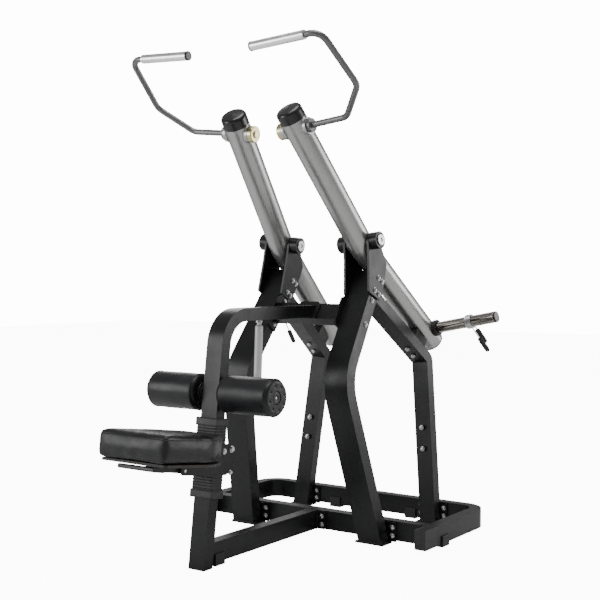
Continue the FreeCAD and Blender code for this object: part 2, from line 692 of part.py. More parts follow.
def handle():
    """A bent handle that swings in the arm's sleeve, kept in by a disc inboard and a ring outboard."""
    tube = round_tube("handle_bar", HANDLE, GRIP_TUBE, [0] + [size("handle_bend")] * 3 + [0],
                      "handle_radius", "handle_radius - handle_wall")
    out = size("handle_sleeve_length") / 2 + 0.6
    stop = ring("handle_stop_ring", HANDLE * local(0, 0, out), "handle_radius + 15",
                "handle_radius - 1", "14")
    both_sides("handle_tube", fuse("handle", tube, stop))
    end = GRIP_TUBE[-1]
    grip_place = HANDLE * along(end, GRIP_TUBE[-2])
    both_sides("hand_grip", ring("grip_sleeve", grip_place, "grip_radius", "handle_radius", "grip_length"))
    plug = [(0, -8), (19, -8), (19, 0), (9.9, 0), (9.9, 14), (0, 14)]
    both_sides("grip_end_cap", turned("grip_cap", grip_place, plug, [0, 4, 1, 0, 0, 0]))
    head = [(0, 0), (34, 0), (34, 22), (15, 22), (15, 28), (0, 28)]
    disc_at = HANDLE * local(0, 0, -out, turn=turn_y(180))
    disc = turned("retainer_disc", disc_at, head, [0, 1, 4, 0, 2, 0])
    tube_end = ring("retainer_recess", disc_at * local(0, 0, -1), "handle_radius", None,
                    str(1 + 76 - out))
    both_sides("handle_retainer", cut("retainer", disc, tube_end))


# ---- foam rollers ----

def rollers():
    middle = Placement(Vector(0, roller_y(), size("roller_z")), Rotation())
    end, face = size("roller_end_x"), size("post_width") / 2
    shaft = size("roller_shaft_radius")
    hub = size("roller_bore_radius")
    out = middle * local(0, 0, 0, turn=turn_y(90))
    rod = [(0, 0), (shaft, 0), (shaft, face), (16, face), (16, face + 3.6), (shaft, face + 3.6),
           (shaft, end - 8), (15, end - 8), (15, end - 6.5), (5, end - 6.5), (5, end - 3), (0, end - 3)]
    half = turned("roller_rod", out, rod, 0)
    node("roller_shaft", fuse("roller_rod_pair", half, mirrored("roller_rod_mirror", half)))
    inner = face + 4
    spool = [(shaft + 0.05, inner), (30, inner), (30, inner + 6), (39, inner + 6), (39, inner + 13),
             (hub, inner + 13), (hub, end - 8.4), (shaft + 0.05, end - 8.4)]
    both_sides("roller_hub", turned("roller_spool", out, spool, [0, 1, 0, 2, 2, 0, 1, 0]))
    start = end - size("roller_length")
    foam = [(hub + 0.3, start), (size("roller_radius"), start), (size("roller_radius"), end), (hub + 0.3, end)]
    both_sides("foam_roller", turned("roller_foam", out, foam, [2, 16, 16, 2]))


# ---- seat ----

CUSHION = [(-167, -437), (167, -437), (167, -170), (98, -34), (-98, -34), (-167, -170)]


def cushion():
    place = POST * local(0, 0, size("seat_bottom") + 0.3)
    body = plate("cushion_pad", place, "XY_Plane", CUSHION, [12, 12, 150, 45, 45, 150], "seat_thick")
    doc.recompute()
    pad = body.Group[-1]
    rims = [f"Edge{i + 1}" for i, edge in enumerate(pad.Shape.Edges)
            if abs(edge.tangentAt(edge.FirstParameter).z) < 0.5]
    soft = body.newObject("PartDesign::Fillet", "cushion_fillet")
    soft.Base = (pad, rims)
    soft.Radius = 10
    node("seat_cushion", body)
    board = [(x * 0.93, -37 - (-35 - y) * 0.94) for x, y in CUSHION]
    node("seat_board", plate("board_pad", POST * local(0, 0, size("seat_bottom") - size("board_thick")),
                             "XY_Plane", board, [12, 12, 140, 40, 40, 140], "board_thick"))


def carriage():
    """Two side plates and a seat mount, sliding with the sleeve on the column."""
    inner = size("post_width") / 2 + 0.3 + size("sleeve_wall")
    thick = size("carriage_plate")
    points = [(6.6, 469), (72, 470), (87, 404), (79, 367), (38, 351), (-210, 355), (-215, 394), (-32, 394)]
    radii = [6, 10, 14, 14, 20, 12, 0, 0]
    parts = []
    for side in (1, -1):
        parts.append(plate(f"carriage_side_{side + 1}", POST * local(side * inner, 0, 0), "YZ_Plane", points, radii,
                           "carriage_plate", back=side < 0))
    parts.append(cutter("carriage_mount", POST, (-85, -200, 388), (85, -62, 394)))
    block = cutter("carriage_pin_block", POST, (-inner, 50, 384), (inner, 62, 416))
    parts.append(block)
    bore = ring("carriage_pin_bore", POST * local(0, 40, 400, turn=turn_x(-90)), "bolt_radius - 1 + running_gap",
                None, "30")
    pivot = ring("carriage_lever_bore", POST * local(-70, -190, 371, turn=turn_y(90)), "bolt_radius", None, "140")
    sides = [ring(f"carriage_bolt_hole_{z}", POST * local(-70, y, z, turn=turn_y(90)), "bolt_radius", None, "140")
             for y, z in ((65, 450), (66, 362))]
    holes = fuse("carriage_holes", bore, pivot, *sides)
    node("seat_carriage", cut("carriage", fuse("carriage_welded", *parts), holes))
    bolts = []
    reach = inner + thick
    for y, z, head in ((65, 450, 10), (66, 362, 7)):
        profile = [(0, 0), (6, 0), (6, reach), (head + 3, reach), (head + 3, reach + 2), (head, reach + 2),
                   (head, reach + 9), (0, reach + 9)]
        half = turned(f"carriage_bolt_{z}", POST * local(0, y, z, turn=turn_y(90)), profile, [0, 0, 0, 0, 0, 0, 3, 0])
        flipped = mirrored(f"carriage_bolt_{z}_mirror", half)
        bolts.append(fuse(f"carriage_bolt_{z}_whole", half, flipped))
    profile = [(0, reach), (11, reach), (11, reach + 1.5), (8, reach + 1.5), (8, reach + 7), (0, reach + 7)]
    stud = turned("carriage_stud", POST * local(0, 22.5, 441, turn=turn_y(90)), profile, [0, 0, 0, 0, 2, 0])
    hinge_pin = ring("lever_hinge_pin", POST * local(-reach, -190, 371, turn=turn_y(90)), "bolt_radius", None,
                     str(2 * reach))
    pieces = [hinge_pin, stud, mirrored("carriage_stud_mirror", stud)] + bolts
    node("carriage_bolts", group("carriage_bolt_set", *pieces))


def guide_sleeve():
    """A ribbed sleeve round the column, open at the back for the guide rail."""
    gap, wall = 0.3, size("sleeve_wall")
    low, high = size("sleeve_low"), size("sleeve_high")
    half_x, half_y = size("post_width") / 2 + gap, size("post_depth") / 2 + gap
    outer = cutter("sleeve_outer", POST, (-half_x - wall, -half_y - wall, low), (half_x + wall, half_y + wall, high))
    rings = [cutter(f"sleeve_ring_{z}", POST, (-half_x - wall - 5, -half_y - wall - 5, z),
                    (half_x + wall + 5, half_y + wall + 5, z + height))
             for z, height in ((low, 28), (high - 28, 28))]
    inside = cutter("sleeve_inside", POST, (-half_x, -half_y, low - 9), (half_x, half_y, high + 9))
    slot = cutter("sleeve_slot", POST, (-13, 0, low - 9), (13, 90, high + 9))
    node("guide_sleeve", cut("sleeve", fuse("sleeve_body", outer, *rings), fuse("sleeve_void", inside, slot)))


def guide_rail():
    """The rail on the column's rear face that the seat's brake closes on."""
    node("guide_rail", cutter("rail_bar", POST, (-12, 25, 200), (12, 39, 770)))


def release():
    """The paddle under the seat's front edge and the brake plunger it draws back."""
    paddle = plate("paddle", POST, "YZ_Plane", [(-402, 373), (-340, 369), (-336, 384), (-398, 390)],
                   [6, 4, 4, 6], "168", midplane=True)
    arms = [plate(f"paddle_arm_{x}", POST * local(x, 0, 0), "YZ_Plane",
                  [(-352, 371), (-190, 360), (-180, 371), (-190, 382), (-352, 382)], [0, 9, 9, 9, 0], "6",
                  midplane=True) for x in (-34, 34)]
    hub = ring("paddle_hub", POST * local(-44, -190, 371, turn=turn_y(90)), "11", None, "88")
    bore = ring("paddle_bore", POST * local(-70, -190, 371, turn=turn_y(90)), "bolt_radius + running_gap", None, "140")
    node("release_lever", cut("release", fuse("release_welded", paddle, hub, *arms), bore))
    stem = [(0, 39.4), (9, 39.4), (9, 44), (5, 44), (5, 80), (9, 80), (9, 88), (0, 88)]
    node("brake_plunger", turned("plunger", POST * local(0, 0, 400, turn=turn_x(-90)), stem,
                                 [0, 0, 0, 0, 0, 0, 3, 0]))


def roller_strut():
    """A round strut hung under the top beam, tied to the column behind the rollers."""
    top = Vector(0, -147, 899)
    bottom = Vector(0, -159.6, 640)
    run = Rotation(Vector(0, 0, 1), bottom - top)
    length = (bottom - top).Length
    profile = [(0, 0), (10, 0), (16, 6), (16, length), (0, length)]
    node("strut_tube", turned("strut", Placement(top, run), profile, [0, 0, 3, 4, 0]))
    fitting = turned("fitting", Placement(top, Rotation()), [(0, 0.3), (9, 0.3), (9, 8), (14, 8), (14, 30), (0, 30)], 0)
    under = cutter("fitting_trim", WORLD, (-60, -250, 919), (60, -50, 1000))
    node("strut_fitting", cut("strut_stud", fitting, under))
    tie = cutter("tie_bar", WORLD, (-24, -470, 646), (24, -138, 658))
    tool = fuse("tie_trims", cutter("tie_trim", POST, (-60, -90, 500), (60, 39, 900)),
                ring("tie_bore", Placement(top, run), "16", None, "400"))
    node("strut_tie", cut("tie", tie, tool))


def bolts():
    base = bolt_group("base_bolts", BASE_BOLTS, BASE_GRIP)
    leg = bolt_group("leg_bolts", LEG_BOLTS, LEG_GRIP)
    node("frame_bolts", group("frame_bolt_set", base, leg, mirrored("leg_bolts_mirror", leg)))
    both_sides("bracket_bolts", bolt_group("bracket_bolt_row", BRACKET_BOLTS, BRACKET_GRIP))


# ---- build and export ----

def build():
    front_beam()
    base_rail()
    base_spine()
    rail_caps()
    rubber_feet()
    column()
    front_leg()
    rear_leg()
    cross_brace()
    pivot_brackets()
    pivot_shaft()
    arm_bumper()
    lever_arm()
    arm_caps()
    arm_bearings()
    weight_horn()
    spring_collar()
    handle()
    rollers()
    cushion()
    carriage()
    guide_sleeve()
    guide_rail()
    release()
    roller_strut()
    bolts()


def export():
    doc.recompute()
    for thing in doc.Objects:
        if "Invalid" in thing.State or "Error" in thing.State:
            raise RuntimeError(f"{thing.Label} did not compute")
    os.makedirs("parts", exist_ok=True)
    for label, thing in nodes.items():
        if thing.Shape.isNull() or not thing.Shape.isValid():
            raise RuntimeError(f"{label} has no valid shape")
        thing.Shape.exportStep(f"parts/{label}.step")
        print(label, len(thing.Shape.Solids), round(thing.Shape.Volume / 1000))


build()
export()
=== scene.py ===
import json
import math
import bmesh
import bpy
from mathutils import Matrix, Vector
from mathutils.bvhtree import BVHTree


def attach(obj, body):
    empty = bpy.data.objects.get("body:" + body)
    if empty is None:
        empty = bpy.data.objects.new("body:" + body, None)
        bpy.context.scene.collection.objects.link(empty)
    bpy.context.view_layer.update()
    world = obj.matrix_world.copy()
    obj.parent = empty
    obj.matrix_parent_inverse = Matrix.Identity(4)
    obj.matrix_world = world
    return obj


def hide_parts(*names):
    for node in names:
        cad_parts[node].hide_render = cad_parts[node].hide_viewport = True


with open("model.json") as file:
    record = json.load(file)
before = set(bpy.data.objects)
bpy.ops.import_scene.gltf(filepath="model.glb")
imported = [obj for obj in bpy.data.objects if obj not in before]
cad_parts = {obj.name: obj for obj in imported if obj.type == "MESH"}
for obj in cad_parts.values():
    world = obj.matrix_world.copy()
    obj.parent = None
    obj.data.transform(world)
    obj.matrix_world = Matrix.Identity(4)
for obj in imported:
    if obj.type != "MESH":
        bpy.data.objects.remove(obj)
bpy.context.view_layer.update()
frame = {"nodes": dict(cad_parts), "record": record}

nodes = frame["nodes"]

# ---------------------------------------------------------------- the machine's own directions

SIDE = Matrix.Translation((0.2052, 0.286, 1.2331)) @ (
    Matrix.Rotation(math.radians(-2), 4, "Z") @ Matrix.Rotation(math.radians(-5.9), 4, "Y"))
POST = Matrix.Translation((0, -0.5116, 0)) @ Matrix.Rotation(math.radians(-7.6), 4, "X")
HORN = SIDE @ Matrix.Translation((0, 0.462, -0.388)) @ Matrix.Rotation(math.radians(84.9), 4, "Y")
MIRROR = Matrix.Scale(-1, 4, (1, 0, 0))
SIDES = (("right", Matrix.Identity(4)), ("left", MIRROR))
ROLLER_Y = -0.5116 + 0.651 * math.tan(math.radians(7.6))


# ---------------------------------------------------------------- materials

class Shader:
    """A node material built up from noise, bevel and mix nodes round one principled shader."""

    def __init__(self, name):
        self.material = bpy.data.materials.new(name)
        self.material.use_nodes = True
        self.tree = self.material.node_tree
        self.bsdf = self.tree.nodes["Principled BSDF"]
        self.where = self.add("ShaderNodeNewGeometry").outputs["Position"]

    def add(self, kind, **values):
        made = self.tree.nodes.new(kind)
        for key, value in values.items():
            setattr(made, key, value)
        return made

    def link(self, a, b):
        self.tree.links.new(a, b)

    def noise(self, scale, detail=4.0, stretch=(1, 1, 1)):
        mapping = self.add("ShaderNodeMapping")
        mapping.inputs["Scale"].default_value = stretch
        self.link(self.where, mapping.inputs["Vector"])
        made = self.add("ShaderNodeTexNoise")
        made.inputs["Scale"].default_value = scale
        made.inputs["Detail"].default_value = detail
        self.link(mapping.outputs["Vector"], made.inputs["Vector"])
        return made.outputs["Fac"]

    def cells(self, scale, feature="F1", stretch=(1, 1, 1)):
        mapping = self.add("ShaderNodeMapping")
        mapping.inputs["Scale"].default_value = stretch
        self.link(self.where, mapping.inputs["Vector"])
        made = self.add("ShaderNodeTexVoronoi", feature=feature)
        made.inputs["Scale"].default_value = scale
        self.link(mapping.outputs["Vector"], made.inputs["Vector"])
        return made.outputs["Distance"]

    def span(self, fac, low, high, start=0.3, end=0.7):
        made = self.add("ShaderNodeMapRange")
        for name, value in (("From Min", start), ("From Max", end), ("To Min", low), ("To Max", high)):
            made.inputs[name].default_value = value
        self.link(fac, made.inputs["Value"])
        return made.outputs["Result"]

    def mix(self, fac, a, b):
        made = self.add("ShaderNodeMix", data_type="RGBA")
        for slot, value in (("A", a), ("B", b)):
            socket = made.inputs[6 if slot == "A" else 7]
            if isinstance(value, tuple):
                socket.default_value = (*value, 1)
            else:
                self.link(value, socket)
        self.link(fac, made.inputs[0])
        return made.outputs[2]

    def bump(self, layers, edge=0.0):
        """Stacks bumps (height socket, strength, distance in metres), over rounded edges if asked."""
        normal = None
        if edge:
            bevel = self.add("ShaderNodeBevel", samples=6)
            bevel.inputs["Radius"].default_value = edge
            normal = bevel.outputs["Normal"]
        for height, strength, distance in layers:
            made = self.add("ShaderNodeBump")
            made.inputs["Strength"].default_value = strength
            made.inputs["Distance"].default_value = distance
            self.link(height, made.inputs["Height"])
            if normal:
                self.link(normal, made.inputs["Normal"])
            normal = made.outputs["Normal"]
        if normal:
            self.link(normal, self.bsdf.inputs["Normal"])

    def edge_wear_and_highlight_mask(self, radius):
        """1 on the object's sharp outer edges and 0 on its flats; paint() lightens these edges as rubbed
        wear and as a painted edge highlight.
        """
        bevel = self.add("ShaderNodeBevel", samples=6)
        bevel.inputs["Radius"].default_value = radius
        face = self.add("ShaderNodeNewGeometry").outputs["Normal"]
        dot = self.add("ShaderNodeVectorMath", operation="DOT_PRODUCT")
        self.link(bevel.outputs["Normal"], dot.inputs[0])
        self.link(face, dot.inputs[1])
        return self.span(dot.outputs["Value"], 1, 0, 0.86, 0.985)

    def multiply(self, a, b):
        made = self.add("ShaderNodeMath", operation="MULTIPLY")
        self.link(a, made.inputs[0])
        self.link(b, made.inputs[1])
        return made.outputs[0]

    def set(self, **values):
        for name, value in values.items():
            socket = self.bsdf.inputs[name.replace("_", " ")]
            if hasattr(value, "is_linked"):
                self.link(value, socket)
            elif isinstance(value, tuple):
                socket.default_value = (*value, 1)
            else:
                socket.default_value = value
        return self.material


def paint(name, dark, light, rough, metallic=0.0, grain=900, wear_and_highlight=None, peel=0.16, gloss=0.5):
    """Powder coat or sprayed enamel: fine orange peel, broad unevenness and, if asked, sharp edges
    lightened partly as rubbed wear and partly as a painted edge highlight.
    """
    s = Shader(name)
    colour = s.mix(s.span(s.noise(5, 3), 0, 1), dark, light)
    if wear_and_highlight:
        # lightens the sharp edges in patches: partly rubbed wear, partly a painted edge highlight
        rub_and_highlight = s.multiply(s.edge_wear_and_highlight_mask(0.0018), s.span(s.noise(38, 5), 0, 0.75, 0.42, 0.66))
        colour = s.mix(rub_and_highlight, colour, wear_and_highlight)
    spread, waves = (0.05, 0.05) if wear_and_highlight else (0.012, 0.003)
    roughness = s.span(s.noise(14, 6), rough - spread, rough + spread)
    s.bump([(s.noise(grain, 2), peel, 0.0004), (s.noise(22, 2), waves, 0.002)], 0.0012 if wear_and_highlight else 0)
    return s.set(Base_Color=colour, Roughness=roughness, Metallic=metallic, Specular_IOR_Level=gloss)


def metal(name, colour, rough, stretch=(1, 1, 1), grain=500, edge=0.0008, tint=0.85, brushing=0.08):
    """Bare metal with directional brushing and smudges."""
    s = Shader(name)
    brush = s.noise(grain, 3, stretch)
    smudge = s.noise(24, 5)
    body = s.mix(s.span(smudge, 0, 1), tuple(c * tint for c in colour), colour)
    s.bump([(brush, brushing, 0.0003)], edge)
    roughness = s.multiply(s.span(smudge, rough - 0.03, rough + 0.05), s.span(brush, 0.92, 1.08))
    return s.set(Base_Color=body, Roughness=roughness, Metallic=1.0)


def moulding(name, colour, rough, grain=700, bump=0.25, edge=0.0008):
    """Plastic or rubber with a moulded grain and dusty patches."""
    s = Shader(name)
    patch = s.noise(17, 5)
    body = s.mix(s.span(patch, 0, 1, 0.35, 0.75), colour, tuple(c * 1.45 + 0.002 for c in colour))
    s.bump([(s.cells(grain), bump, 0.0004)], edge)
    return s.set(Base_Color=body, Roughness=s.span(patch, rough - 0.04, rough + 0.1))


def vinyl(name, colour, rough=0.42):
    """Grained upholstery vinyl: pebbled cells, soft creases and a scuffed sheen."""
    s = Shader(name)
    scuff = s.noise(9, 6)
    body = s.mix(s.span(scuff, 0, 1), colour, tuple(c * 1.35 + 0.001 for c in colour))
    pebble = s.cells(620, "SMOOTH_F1")
    crease = s.noise(46, 3)
    s.bump([(crease, 0.05, 0.002), (pebble, 0.3, 0.0005), (s.noise(1500, 2), 0.15, 0.0002)])
    roughness = s.span(scuff, rough - 0.05, rough + 0.1)
    return s.set(Base_Color=body, Roughness=roughness, Specular_IOR_Level=0.38)


def board(name):
    """Black-stained plywood: streaks along its length."""
    s = Shader(name)
    streak = s.noise(60, 6, (1, 0.12, 1))
    s.bump([(streak, 0.3, 0.0006)], 0.001)
    stain = s.mix(s.span(streak, 0, 1), (0.012, 0.011, 0.01), (0.04, 0.036, 0.03))
    return s.set(Base_Color=stain, Roughness=0.62)


BUILDERS = {
    "frame_black": lambda n: paint(n, (0.006, 0.0062, 0.0068), (0.0098, 0.01, 0.0108), 0.33, grain=1100,
                                   wear_and_highlight=(0.035, 0.035, 0.036), peel=0.14, gloss=0.3),
    "cap_plastic": lambda n: moulding(n, (0.007, 0.007, 0.0075), 0.2, grain=260, bump=0.03),
    "foot_rubber": lambda n: moulding(n, (0.012, 0.012, 0.012), 0.62, grain=520, bump=0.35),
    "bolt_steel": lambda n: metal(n, (0.62, 0.62, 0.63), 0.28, grain=900),
    "arm_grey": lambda n: paint(n, (0.4, 0.4, 0.395), (0.425, 0.425, 0.42), 0.3, metallic=0.85,
                                grain=1500, peel=0.01),
    "bearing_bronze": lambda n: metal(n, (0.5, 0.38, 0.18), 0.35),
    "horn_chrome": lambda n: metal(n, (0.36, 0.335, 0.305), 0.17, stretch=(0.6, 9, 9), grain=60,
                                   edge=0, tint=0.93, brushing=0.0),
    "handle_grey": lambda n: paint(n, (0.15, 0.15, 0.152), (0.2, 0.2, 0.202), 0.34, metallic=0.6,
                                   grain=1500, peel=0.03),
    "grip_aluminium": lambda n: metal(n, (0.95, 0.95, 0.96), 0.27, stretch=(6, 1, 1), grain=420,
                                      edge=0, tint=0.94, brushing=0.02),
    "retainer_steel": lambda n: metal(n, (0.6, 0.55, 0.3), 0.26, grain=600),
    "foam_vinyl": lambda n: vinyl(n, (0.0065, 0.0068, 0.0078), 0.37),
    "hub_plastic": lambda n: moulding(n, (0.01, 0.01, 0.0108), 0.42),
    "seat_vinyl": lambda n: vinyl(n, (0.0065, 0.0068, 0.0075), 0.37),
    "board_wood": board,
    "strut_silver": lambda n: paint(n, (0.7, 0.7, 0.7), (0.78, 0.78, 0.78), 0.3, metallic=0.1,
                                    grain=1300, peel=0.04),
}
MATERIALS = {name: make(name) for name, make in BUILDERS.items()}
MATERIALS["thread"] = moulding("thread", (0.035, 0.035, 0.036), 0.7, grain=3000, bump=0.4)
MATERIALS["weld"] = paint("weld", (0.0085, 0.0088, 0.0095), (0.0135, 0.0138, 0.0148), 0.34, grain=500,
                          peel=0.2, gloss=0.32)


def dress(obj, name):
    obj.data.materials.clear()
    obj.data.materials.append(MATERIALS[name])


for part in frame["record"]["subparts"]:
    dress(nodes[part["node"]], part["material_slot"])


# ---------------------------------------------------------------- mesh building

def finish_mesh(name, mesh_data, material, body, angle=35):
    """A named object in the row frame, smooth-shaded, painted and riding its body."""
    mesh = bpy.data.meshes.new(name)
    mesh_data.normal_update()
    bmesh.ops.recalc_face_normals(mesh_data, faces=mesh_data.faces)
    mesh_data.to_mesh(mesh)
    mesh_data.free()
    obj = bpy.data.objects.new(name, mesh)
    bpy.context.scene.collection.objects.link(obj)
    for face in mesh.polygons:
        face.use_smooth = True
    mesh.set_sharp_from_angle(angle=math.radians(angle))
    dress(obj, material)
    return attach(obj, body)


def loops_to_mesh(loops, closed_along=False):
    """Skins a run of point loops of equal length, closing it on itself or with an end face each way."""
    made = bmesh.new()
    rows = [[made.verts.new(p) for p in loop] for loop in loops]
    count = len(rows[0])
    pairs = list(zip(rows, rows[1:])) + ([(rows[-1], rows[0])] if closed_along else [])
    for a, b in pairs:
        for i in range(count):
            made.faces.new((a[i], a[(i + 1) % count], b[(i + 1) % count], b[i]))
    if not closed_along:
        made.faces.new(rows[0][::-1])
        made.faces.new(rows[-1])
    return made


def tube_mesh(points, radius, sides=14, closed=False):
    """A tube along points. radius is one number or one for each point."""
    count = len(points)
    radii = radius if isinstance(radius, (list, tuple)) else [radius] * count
    loops = []
    normal = None
    for i, p in enumerate(points):
        after = points[(i + 1) % count] if closed or i < count - 1 else p
        before = points[i - 1] if closed or i > 0 else p
        run = (after - before).normalized()
        if normal is None:
            normal = run.orthogonal().normalized()
        normal = (normal - run * normal.dot(run)).normalized()
        other = run.cross(normal)
        loops.append([p + (normal * math.cos(a) + other * math.sin(a)) * radii[i]
                      for a in (2 * math.pi * k / sides for k in range(sides))])
    return loops_to_mesh(loops, closed)


def lathe_mesh(profile, place, sides=96, shift=None):
    """A turned form about place's Z. shift(angle, radius, height) gives a point's radial and Z move."""
    made = bmesh.new()
    rows = []
    for radius, height in profile:
        if radius < 1e-6:
            rows.append([made.verts.new(place @ Vector((0, 0, height)))])
            continue
        row = []
        for k in range(sides):
            a = 2 * math.pi * k / sides
            dr, dz = shift(a, radius, height) if shift else (0, 0)
            x, y = (radius + dr) * math.cos(a), (radius + dr) * math.sin(a)
            row.append(made.verts.new(place @ Vector((x, y, height + dz))))
        rows.append(row)
    for a, b in zip(rows, rows[1:]):
        for k in range(sides):
            n = (k + 1) % sides
            if len(a) == 1:
                made.faces.new((a[0], b[k], b[n]))
            elif len(b) == 1:
                made.faces.new((a[k], b[0], a[n]))
            else:
                made.faces.new((a[k], b[k], b[n], a[n]))
    return made


def join_meshes(parts):
    whole = bmesh.new()
    for part in parts:
        mesh = bpy.data.meshes.new("part")
        part.to_mesh(mesh)
        part.free()
        whole.from_mesh(mesh)
        bpy.data.meshes.remove(mesh)
    return whole


def arc(centre, radius, start, end, steps):
    """Profile points round a corner, angles in degrees."""
    spots = [math.radians(start + (end - start) * i / steps) for i in range(steps + 1)]
    return [(centre[0] + radius * math.cos(a), centre[1] + radius * math.sin(a)) for a in spots]


# ---------------------------------------------------------------- seat cushion

def puffed(obj, pressure, cap):
    """Runs a short cloth simulation under pressure, with each point held within cap of its start."""
    before = [v.co.copy() for v in obj.data.vertices]
    cloth = obj.modifiers.new("Cloth", "CLOTH")
    settings = cloth.settings
    settings.quality = 6
    settings.mass = 0.4
    settings.tension_stiffness = 40
    settings.compression_stiffness = 5
    settings.bending_stiffness = 30
    settings.use_pressure = True
    settings.uniform_pressure_force = pressure
    settings.effector_weights.gravity = 0
    cloth.point_cache.frame_start = 1
    cloth.point_cache.frame_end = 20
    for step in range(1, 21):
        bpy.context.scene.frame_set(step)
    depsgraph = bpy.context.evaluated_depsgraph_get()
    after = [v.co.copy() for v in obj.evaluated_get(depsgraph).data.vertices]
    obj.modifiers.remove(cloth)
    for vertex, a, b in zip(obj.data.vertices, before, after):
        move = b - a
        vertex.co = a + move * min(1, cap / move.length) if move.length > 1e-9 else a
    bpy.context.scene.frame_set(1)


def make_cushion():
    """The seat cushion: its CAD form shrunk a little, remeshed, blown up as cloth, and smoothed."""
    source = nodes["seat_cushion"]
    obj = bpy.data.objects.new("cushion_cover", source.data.copy())
    bpy.context.scene.collection.objects.link(obj)
    inverse = POST.inverted()
    middle = Vector((0, -0.2355, 0.455))
    for vertex in obj.data.vertices:
        p = inverse @ vertex.co - middle
        vertex.co = POST @ (middle + Vector((p.x * 0.965, p.y * 0.97, p.z * 0.94)))
    remesh = obj.modifiers.new("Remesh", "REMESH")
    remesh.mode = "VOXEL"
    remesh.voxel_size = 0.0055
    bpy.context.view_layer.objects.active = obj
    obj.select_set(True)
    bpy.ops.object.modifier_apply(modifier="Remesh")
    puffed(obj, 2.5, 0.005)
    flat_bottom(obj)
    smooth = obj.modifiers.new("Smooth", "SMOOTH")
    smooth.factor = 0.5
    smooth.iterations = 22
    bpy.ops.object.modifier_apply(modifier="Smooth")
    subdivide = obj.modifiers.new("Subdivide", "SUBSURF")
    subdivide.levels = subdivide.render_levels = 1
    bpy.ops.object.modifier_apply(modifier="Subdivide")
    obj.select_set(False)
    for face in obj.data.polygons:
        face.use_smooth = True
    dress(obj, "seat_vinyl")
    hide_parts("seat_cushion")
    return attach(obj, "seat")


def flat_bottom(obj):
    """Keeps the underside flat on its board, and tucks the lowest band of the sides in a little."""
    inverse = POST.inverted()
    for vertex in obj.data.vertices:
        p = inverse @ vertex.co
        p.z = max(p.z, 0.4047)
        tuck = max(0, 1 - (p.z - 0.4047) / 0.03)
        p.x *= 1 - 0.02 * tuck * tuck
        vertex.co = POST @ p


def surface_of(obj):
    made = bmesh.new()
    made.from_mesh(obj.data)
    tree = BVHTree.FromBMesh(made)
    made.free()
    return tree


def around(tree, height, steps=240, lift=0.0, centre_y=-0.24):
    """Points on a cushion's side all the way round, at one height above the column's foot."""
    points = []
    for k in range(steps):
        a = 2 * math.pi * k / steps
        out = Vector((math.cos(a), math.sin(a), 0))
        start = POST @ (Vector((0, centre_y, height)) + out * 0.6)
        hit, normal, _, _ = tree.ray_cast(start, (POST.to_3x3() @ -out).normalized())
        if hit:
            points.append(hit + normal * lift)
    return points


def corner_seam(tree, x, y, low, high, lift):
    """Points up a cushion's vertical corner."""
    points = []
    out = Vector((x, y, 0)).normalized()
    for i in range(25):
        height = low + (high - low) * i / 24
        start = POST @ (Vector((0, -0.24, height)) + out * 0.6)
        hit, normal, _, _ = tree.ray_cast(start, (POST.to_3x3() @ -out).normalized())
        if hit:
            points.append(hit + normal * lift)
    return points


def stitches(points, length, gap, radius, closed=False):
    """Short raised threads along a run of points."""
    parts = []
    travelled, next_at = 0.0, 0.0
    for a, b in zip(points, points[1:] + (points[:1] if closed else [])):
        step = (b - a).length
        while next_at < travelled + step and step > 1e-6:
            p = a.lerp(b, (next_at - travelled) / step)
            run = (b - a).normalized() * length / 2
            parts.append(tube_mesh([p - run, p - run * 0.5, p + run * 0.5, p + run],
                                   [radius * 0.4, radius, radius, radius * 0.4], 6))
            next_at += length + gap
        travelled += step
    return parts


def cushion_seams(cover):
    tree = surface_of(cover)
    welts = []
    for height in (0.4885, 0.414):
        welts.append(tube_mesh(around(tree, height, lift=-0.0004), 0.0019, 8, closed=True))
    for x in (-1, 1):
        welts.append(tube_mesh(corner_seam(tree, x * 0.155, -0.185, 0.414, 0.4885, -0.0005), 0.0014, 8))
    finish_mesh("cushion_welts", join_meshes(welts), "seat_vinyl", "seat")
    threads = stitches(around(tree, 0.4845, lift=0.0), 0.0055, 0.0028, 0.0006, True)
    for x in (-1, 1):
        for offset in (-0.0055, 0.0055):
            run = corner_seam(tree, x * 0.155 + offset, -0.185, 0.416, 0.4835, 0.0)
            threads += stitches(run, 0.0055, 0.0028, 0.0006)
    finish_mesh("cushion_stitching", join_meshes(threads), "thread", "seat")


cushion = make_cushion()
cushion_seams(cushion)


# ---------------------------------------------------------------- foam rollers

